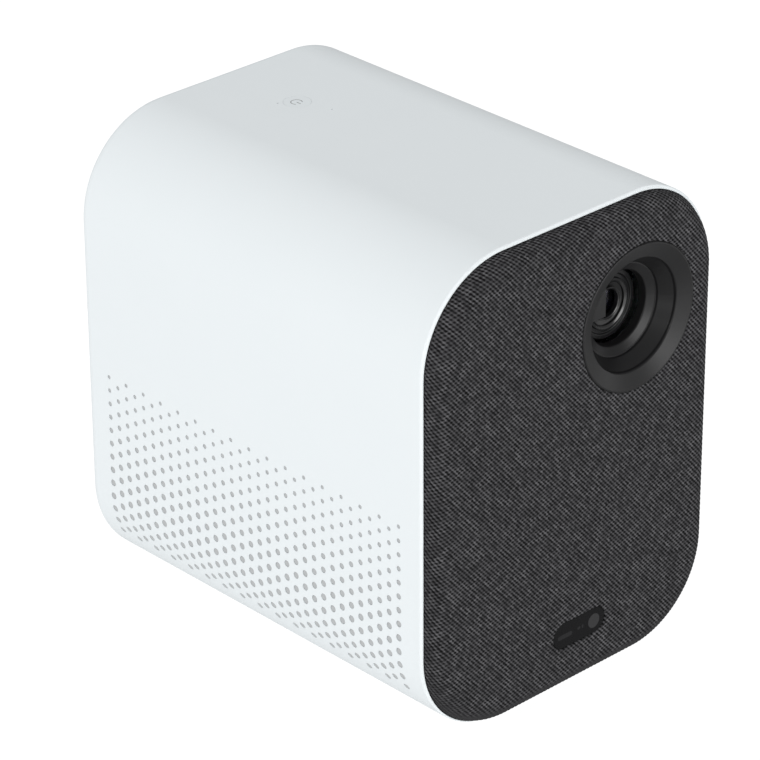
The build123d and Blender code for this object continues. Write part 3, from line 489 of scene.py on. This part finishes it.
# ---------------------------------------------------------------- front cloth
PITCH_ACROSS = Vector((0.7875, -0.043)) * MM             # from one crossing to the next
PITCH_UP = Vector((0.0025, 0.836)) * MM
HALF_PITCHES = 196                                       # each way from the middle, past all edges
RELIEF = 0.07 * MM                                       # half height of the weave
ROW_SHARE = 0.7                                          # of that height; the floats have the rest
TURN_BACK = 0.05 * MM                                    # straight back after the square turn
TUCK, TUCK_DEPTH = 0.7 * MM, 0.30 * MM                   # rounding in towards the openings
HEM = 0.9 * MM                                           # straight back into the openings
CUT_HALVINGS = 14                                        # how closely a cut edge is found
HOLE_R = SHROUD_R + 0.05 * MM
WINDOW_GAP = 0.15 * MM
WRAP = SHOULDER * math.pi / 2                            # length of cloth round the shoulder


def rounded_distance(x, z, half_w, half_h, radius):
    """Signed distance to a rounded rectangle about the origin, with its outward direction."""
    qx, qz = np.abs(x) - (half_w - radius), np.abs(z) - (half_h - radius)
    corner = (qx > 0) & (qz > 0)
    length = np.maximum(np.hypot(qx, qz), 1e-12)         # never zero, as it divides below
    distance = np.where(corner, length, np.maximum(qx, qz)) - radius
    out_x = np.where(corner, qx / length, (qx >= qz) * 1.0) * np.sign(x)
    out_z = np.where(corner, qz / length, (qx < qz) * 1.0) * np.sign(z)
    return distance, out_x, out_z


def to_face_edge(x, z):
    """Distance beyond the flat part of the front, where the shoulder starts."""
    half_w = (cloth_high.x - cloth_low.x) / 2 - SHOULDER
    half_h = (cloth_high.z - cloth_low.z) / 2 - SHOULDER
    return rounded_distance(x - MID_X, z - MID_Z, half_w, half_h, CORNER_R - SHOULDER)


def into_openings(x, z):
    """Distance inside the round lens opening or the window's pill; negative on the cloth."""
    lens = HOLE_R - np.hypot(x - LENS_X, z - LENS_Z)
    half_w, half_h = WINDOW_W / 2 + WINDOW_GAP, WINDOW_H / 2 + WINDOW_GAP
    end_r = half_h - 1e-6                                # all but half circles
    window = -rounded_distance(x - WINDOW_X, z - WINDOW_Z, half_w, half_h, end_r)[0]
    return np.maximum(lens, window)


def beyond_cloth(x, z):
    """Positive outside the cut cloth, and inside its two openings."""
    outer = to_face_edge(x, z)[0] - (WRAP + TURN_BACK)
    return np.maximum(outer, into_openings(x, z))


def on_front(x, z):
    """Where a point of the flat cloth lies on the panel, with its woven relief."""
    row = (ROW_WAVE[0] * x + ROW_WAVE[1] * z) / MM
    bead = (BEAD_WAVE[0] * x + BEAD_WAVE[1] * z) / MM
    waves = (ROW_SHARE * np.cos(2 * math.pi * row)
             + (1 - ROW_SHARE) * np.cos(2 * math.pi * bead))
    lift = RELIEF * (waves - 1.0)
    tuck = np.clip(1 + into_openings(x, z) / TUCK, 0, 1)
    lift = lift * (1 - tuck) - TUCK_DEPTH * tuck ** 2
    past, out_x, out_z = to_face_edge(x, z)
    past = np.maximum(past, 0)
    turn = np.minimum(past / SHOULDER, math.pi / 2)
    back = np.maximum(past - WRAP, 0)
    lift = np.where(back > 0, -RELIEF, lift)
    reach = (SHOULDER + lift) * np.sin(turn) - past
    depth = FRONT_Y + SHOULDER - (SHOULDER + lift) * np.cos(turn) + back
    return np.stack([x + out_x * reach, depth, z + out_z * reach], -1)


def make_cloth():
    """The woven skin: a grid along the threads, two steps to a thread, clipped at every edge."""
    steps = np.arange(-HALF_PITCHES, HALF_PITCHES + 1)
    across, up = np.meshgrid(steps, steps, indexing="ij")
    x = MID_X + (across * PITCH_ACROSS.x + up * PITCH_UP.x) / 2
    z = MID_Z + (across * PITCH_ACROSS.y + up * PITCH_UP.y) / 2
    outside = beyond_cloth(x, z)
    points = {}                                          # grid corner or cut edge -> vertex
    flat = []

    def corner(i, k):
        """The vertex at a grid corner."""
        if (i, k) not in points:
            points[i, k] = len(flat)
            flat.append((x[i, k], z[i, k]))
        return points[i, k]

    def cut(a, b):
        """The vertex where the grid edge from a (inside) to b (outside) leaves the cloth."""
        if (a, b) not in points:
            low, high = 0.0, 1.0
            for _ in range(CUT_HALVINGS):
                mid = (low + high) / 2
                px, pz = x[a] + (x[b] - x[a]) * mid, z[a] + (z[b] - z[a]) * mid
                low, high = (mid, high) if beyond_cloth(px, pz) < 0 else (low, mid)
            points[a, b] = len(flat)
            flat.append((px, pz))
        return points[a, b]

    faces = []
    inside = outside < 0
    touched = inside[:-1, :-1] | inside[1:, :-1] | inside[1:, 1:] | inside[:-1, 1:]
    for i, k in np.argwhere(touched):
        ring = [(i, k), (i + 1, k), (i + 1, k + 1), (i, k + 1)]
        face = []
        for a, b in zip(ring, ring[1:] + ring[:1]):
            if inside[a]:
                face.append(corner(*a))
            if inside[a] and not inside[b]:
                face.append(cut(a, b))
            if inside[b] and not inside[a]:
                face.append(cut(b, a))
        if len(face) == 4 and all(inside[c] for c in ring):
            faces.append((face[0], face[1], face[3]))    # split along the diagonal rows
            faces.append((face[1], face[2], face[3]))
        elif len(face) > 2:
            faces.append(tuple(face))
    flat = np.array(flat)
    placed = on_front(flat[:, 0], flat[:, 1])
    return flat, placed, faces


def hem_strips(flat, placed, faces):
    """Tuck the cloth straight back round the lens and the window."""
    seen = {(a, b): None for face in faces for a, b in zip(face, face[1:] + face[:1])}
    # an edge seen one way only is a border, and a dict keeps the borders in order
    near_hole = into_openings(flat[:, 0], flat[:, 1]) > -0.01 * MM
    tucked, extra, strips = {}, [], []                   # tucked: vertex -> its copy further in
    for a, b in seen:
        if (b, a) in seen or not (near_hole[a] and near_hole[b]):
            continue
        for v in (a, b):
            if v not in tucked:
                tucked[v] = len(placed) + len(extra)
                extra.append(placed[v] + np.array([0.0, HEM, 0.0]))
        strips.append((b, a, tucked[a], tucked[b]))
    order = sorted(tucked, key=tucked.get)
    return np.vstack([flat, flat[order]]), np.vstack([placed, np.array(extra)]), faces + strips


def painted_edge_shade(flat):
    """Painted shade over the edge, 0 on the flat front to 1 where it is darkest: under the lower
    edge, which faces away from the light, less so at its left end, and all round in the last of
    the turn, shaded by the lip."""
    low_gain, left_gain, left_loss = 1.3, 1.5, 0.7
    lip_share = 1 / 12                                   # of the turn
    past, out_x, out_z = to_face_edge(flat[:, 0], flat[:, 1])
    turned = past / WRAP
    low = np.clip(-low_gain * out_z, 0, 1)
    low = low * (1 - left_loss * np.clip(-left_gain * out_x, 0, 1))
    lip = np.clip((turned - 1) / lip_share + 1, 0, 1)
    return np.maximum(np.clip(turned, 0, 1) * low, lip)


def add_cloth():
    """The woven skin in place of the plain front fabric, with its measures as a flat sheet."""
    flat, placed, faces = hem_strips(*make_cloth())
    cloth = new_piece("front_cloth", placed, faces, "front_cloth", "housing")
    weave = cloth.data.attributes.new("weave", "FLOAT_VECTOR", "POINT")
    values = np.zeros((len(flat), 3), np.float32)
    values[:, :2] = flat / MM
    # in z the painted shade over the edge, which the cloth's material darkens it by
    values[:, 2] = painted_edge_shade(flat)
    weave.data.foreach_set("vector", values.ravel())
    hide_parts("front_fabric")


add_cloth()


# ---------------------------------------------------------------- power symbol
def add_power_symbol():
    """Thin printed arc and stroke on the button, a hair proud of it."""
    radius, line, height = 1.7 * MM, 0.14 * MM, 0.015 * MM       # line is half its width
    crown = 0.8                                          # share of the line that is flat on top
    aside = -0.3 * MM                                    # the print isn't quite centred
    middle = Vector((aside, BUTTON_Y, button_high.z))
    gap = math.radians(48)                               # half the arc's opening, towards -Y
    arc_steps, stroke_steps = 48, 6
    stroke_from, stroke_length = 0.05, 1.03              # in radii from the middle
    vertices, faces = [], []

    def ribbon(path):
        """A low bevelled strip along the path."""
        first = len(vertices)
        for index, (x, y) in enumerate(path):
            before, after = path[max(index - 1, 0)], path[min(index + 1, len(path) - 1)]
            along = Vector((after[0] - before[0], after[1] - before[1])).normalized()
            side = Vector((-along.y, along.x)) * line
            for offset, lift in ((1.0, 0.0), (crown, height), (-crown, height), (-1.0, 0.0)):
                vertices.append(middle + Vector((x + side.x * offset, y + side.y * offset, lift)))
        for index in range(len(path) - 1):
            for k in range(3):
                a = first + 4 * index + k
                faces.append((a, a + 4, a + 5, a + 1))

    arc = [gap + (2 * math.pi - 2 * gap) * i / arc_steps for i in range(arc_steps + 1)]
    ribbon([(radius * math.sin(t), -radius * math.cos(t)) for t in arc])
    ribbon([(0.0, -radius * (stroke_from + stroke_length * i / stroke_steps))
            for i in range(stroke_steps + 1)])
    symbol = new_piece("power_symbol", vertices, faces, "button_cap", "button")
    symbol.data.materials[0] = symbol_grey()


add_power_symbol()


# ---------------------------------------------------------------- marks on the smoked window
def add_window_marks():
    """The receiver's round eye, the ranging sensor's slit and two pin lights, a hair proud of
    the gloss. Each is a low pill with a bevelled rim."""
    face = window_low.y - 0.012 * MM
    marks = (                                            # mm: right, up, width, height
        (6.2, -0.1, 4.7, 4.7),
        (-5.8, -0.3, 6.0, 1.5),
        (0.0, 0.0, 1.3, 1.0),
        (1.5, 0.0, 0.8, 1.2),
    )
    bevel, sunk = 0.08, 0.02                             # mm
    count = 40
    vertices, faces = [], []
    for x, z, width, height in marks:
        middle = Vector((WINDOW_X + x * MM, face, WINDOW_Z + z * MM))
        radius = min(width, height) / 2
        straight_x, straight_z = width / 2 - radius, height / 2 - radius
        first = len(vertices)
        for r, sink in ((radius, sunk), (radius - bevel, 0.0)):
            for index in range(count):
                angle = 2 * math.pi * (index + 0.5) / count
                c, s = math.cos(angle), math.sin(angle)
                px, pz = math.copysign(straight_x, c) + c * r, math.copysign(straight_z, s) + s * r
                vertices.append(middle + Vector((px, sink, pz)) * MM)
        for a in range(first, first + count):
            b = first + (a - first + 1) % count
            faces.append((a, b, b + count, a + count))
        faces.append(list(range(first + count, first + 2 * count)))
    piece = new_piece("sensor_marks", vertices, faces, "sensor_glass", "housing", smooth=False)
    piece.data.materials[0] = smoked("window_eye", (0.034, 0.034, 0.035), (0.040, 0.040, 0.041))
    piece.data.materials.append(smoked("window_slit", (0.018, 0.018, 0.019), (0.023, 0.023, 0.024)))
    eye = len(faces) // len(marks)                       # the eye comes first, the rest is darker
    piece.data.polygons.foreach_set("material_index", [0] * eye + [1] * (len(faces) - eye))


add_window_marks()


# ---------------------------------------------------------------- chamfers round the glass
def add_lens_chamfers():
    """The polished inner slopes of the two rings on the focus barrel's nose."""
    face = barrel_low.y + 0.3 * MM                       # the nose's face, under its outer ring
    profiles = (                                         # mm: radius, depth behind that face
        ((7.46, -0.28), (7.42, -0.34), (7.36, -0.36), (7.30, -0.34), (6.70, -0.02), (6.65, 0.02),
         (6.62, 0.1), (6.62, 0.55)),
        ((5.12, -0.09), (5.09, -0.14), (5.04, -0.16), (4.98, -0.14), (4.42, 0.16), (4.37, 0.20),
         (4.34, 0.28), (4.34, 0.6)),
    )
    vertices, faces = [], []
    steps = 120
    for profile in profiles:
        first = len(vertices)
        for radius, depth in profile:
            for k in range(steps):
                turn = 2 * math.pi * k / steps
                vertices.append((LENS_X + radius * MM * math.cos(turn), face + depth * MM,
                                 LENS_Z + radius * MM * math.sin(turn)))
        for ring in range(len(profile) - 1):
            for k in range(steps):
                a, b = first + ring * steps + k, first + ring * steps + (k + 1) % steps
                faces.append((a, a + steps, b + steps, b))
    piece = new_piece("lens_chamfers", vertices, faces, "lens_plastic", "lens_cell")
    piece.data.materials[0] = lens_black("lens_polished", 0.95)


add_lens_chamfers()


# ---------------------------------------------------------------- mesh in the side holes
PITCH = 4.51 * MM                                        # triangular grid of holes
COLUMNS, ROWS = 33, 13
HOLES_TOP = 71.1 * MM                                    # highest row over the sleeve's underside
HOLES_BACK = 11.0 * MM                                   # last column to the sleeve's back
BEND = 31.0 * MM                                         # corner of the sleeve
HOLE_SMALL, HOLE_LARGE, GROWS_OVER = 0.65 * MM, 1.1 * MM, 8      # radii, and rows between them
SUNK = 0.12 * MM                                         # mesh face under the sleeve's surface
WALL = 2.2 * MM                                          # of the sleeve


def hole_centres():
    """(place along y, height, angle round the corner, radius) of every hole on one side."""
    top, last_y = shell_low.z + HOLES_TOP, shell_high.y - HOLES_BACK
    bend_z = shell_low.z + BEND
    for column in range(COLUMNS):
        y = last_y - column * PITCH * math.sqrt(3) / 2
        odd = column % 2
        for step in range(ROWS - odd):
            row = step + 0.5 * odd
            height = top - row * PITCH
            radius = HOLE_SMALL + (HOLE_LARGE - HOLE_SMALL) * min(row / GROWS_OVER, 1.0)
            yield y, max(height, bend_z), max(bend_z - height, 0.0) / BEND, radius


def add_hole_mesh(side, name):
    """The dust mesh, pressed through the wall into each hole as a shallow cup."""
    rings = (                                            # share of the radius, depth of the ring
        (0.5, SUNK + 0.05 * MM),
        (0.93, SUNK),
        (1.0, SUNK + 0.07 * MM),
        (1.0, WALL - 0.05 * MM),
    )
    middle_depth, play = SUNK + 0.06 * MM, 0.03 * MM
    count = 18
    centre_x = side * (shell_high.x - BEND)
    vertices, faces = [], []
    for y, height, angle, radius in hole_centres():
        out = Vector((side * math.cos(angle), 0.0, -math.sin(angle)))
        along, up = Vector((0.0, 1.0, 0.0)), Vector((side * math.sin(angle), 0.0, math.cos(angle)))
        root = Vector((centre_x, y, height))
        first = len(vertices)
        vertices.append(root + out * (BEND - middle_depth))
        for share, sink in rings:
            for k in range(count):
                t = 2 * math.pi * k / count
                r = share * (radius - play)
                offset = along * (r * math.cos(t)) + up * (r * math.sin(t))
                vertices.append(root + out * (BEND - sink) + offset)
        for k in range(count):
            after = (k + 1) % count
            faces.append((first, first + 1 + k, first + 1 + after)[::side])
            for ring in range(len(rings) - 1):
                a, b = first + 1 + ring * count + k, first + 1 + ring * count + after
                faces.append((a, a + count, b + count, b)[::side])
    new_piece(name, vertices, faces, "mesh_grey", "housing")


add_hole_mesh(-1, "hole_mesh_left")
add_hole_mesh(1, "hole_mesh_right")


# ---------------------------------------------------------------- floor and light
def make_floor():
    """A pale floor that glows enough to burn out to white. Reflections see it dimmed, as if it
    were screened off, except for the stretch in front of the object."""
    glow, dimming = 0.935, 0.75
    open_y, screened_y = -0.35, -0.225
    per_metre = 1 / (screened_y - open_y)
    g = Graph("floor_white")
    paper = g.noise(4 * MM, detail=4.0)
    y = g.node("ShaderNodeSeparateXYZ", {"Vector": g.place}).outputs["Y"]
    screened = g.math("MULTIPLY_ADD", y, per_metre, -open_y * per_metre, use_clamp=True)
    reflected = g.node("ShaderNodeLightPath").outputs["Is Glossy Ray"]
    dimmed = g.math("MULTIPLY", reflected, screened)
    g.set(
        base_color=g.mix(paper, (0.14, 0.14, 0.14), (0.16, 0.16, 0.16)),
        roughness=0.9,
        emission_color=(1.0, 1.0, 1.0),
        emission_strength=g.math("MULTIPLY_ADD", dimmed, -dimming, glow),
        specular=0.1,
    )
    half = 3.0
    corners = [(-half, -half, 0), (half, -half, 0), (half, half, 0), (-half, half, 0)]
    mesh = bpy.data.meshes.new("floor")
    mesh.from_pydata(corners, [], [(0, 1, 2, 3)])
    mesh.materials.append(g.material)
    floor = bpy.data.objects.new("floor", mesh)
    bpy.context.scene.collection.objects.link(floor)


def make_studio():
    """Soft white light from all round, stronger from the left. Reflections see it dimmed, and
    the camera sees plain white."""
    level, from_left, dimming = 0.835, 0.24, 0.62
    world = bpy.data.worlds.new("studio")
    world.use_nodes = True
    nodes, links = world.node_tree.nodes, world.node_tree.links

    def combine(operation, *values):
        """One step of arithmetic."""
        made = nodes.new("ShaderNodeMath")
        made.operation = operation
        for value, socket in zip(values, made.inputs):
            if isinstance(value, bpy.types.NodeSocket):
                links.new(value, socket)
            else:
                socket.default_value = value
        return made.outputs[0]

    slope = nodes.new("ShaderNodeVectorMath")
    slope.operation = "DOT_PRODUCT"
    slope.inputs[1].default_value = (-from_left, 0.0, 0.0)
    links.new(nodes.new("ShaderNodeTexCoord").outputs["Generated"], slope.inputs[0])
    rays = nodes.new("ShaderNodeLightPath").outputs
    light = combine("ADD", slope.outputs["Value"], level)
    share = combine("MULTIPLY_ADD", rays["Is Glossy Ray"], -dimming, 1.0)
    strength = combine("MAXIMUM", combine("MULTIPLY", light, share), rays["Is Camera Ray"])
    sky = nodes["Background"]
    sky.inputs["Color"].default_value = (1.0, 1.0, 1.0, 1.0)
    links.new(strength, sky.inputs["Strength"])
    bpy.context.scene.world = world


def add_softbox(name, place, width, power):
    """A square softbox that faces the middle of the sleeve; metres and watts."""
    data = bpy.data.lights.new(name, "AREA")
    data.shape = "RECTANGLE"
    data.size, data.size_y = width, width
    data.energy = power
    lamp = bpy.data.objects.new(name, data)
    lamp.location = place
    aim = (shell_low + shell_high) / 2 - Vector(place)
    lamp.rotation_euler = aim.to_track_quat("-Z", "Y").to_euler()
    bpy.context.scene.collection.objects.link(lamp)


make_floor()
make_studio()
add_softbox("key_left", (-1.6, -0.7, 0.9), 0.32, 3.4)
add_softbox("front", (0.2, -2.0, 0.15), 1.25, 16.0)

view = bpy.context.scene.view_settings
view.view_transform = "Standard"
view.look = "None"
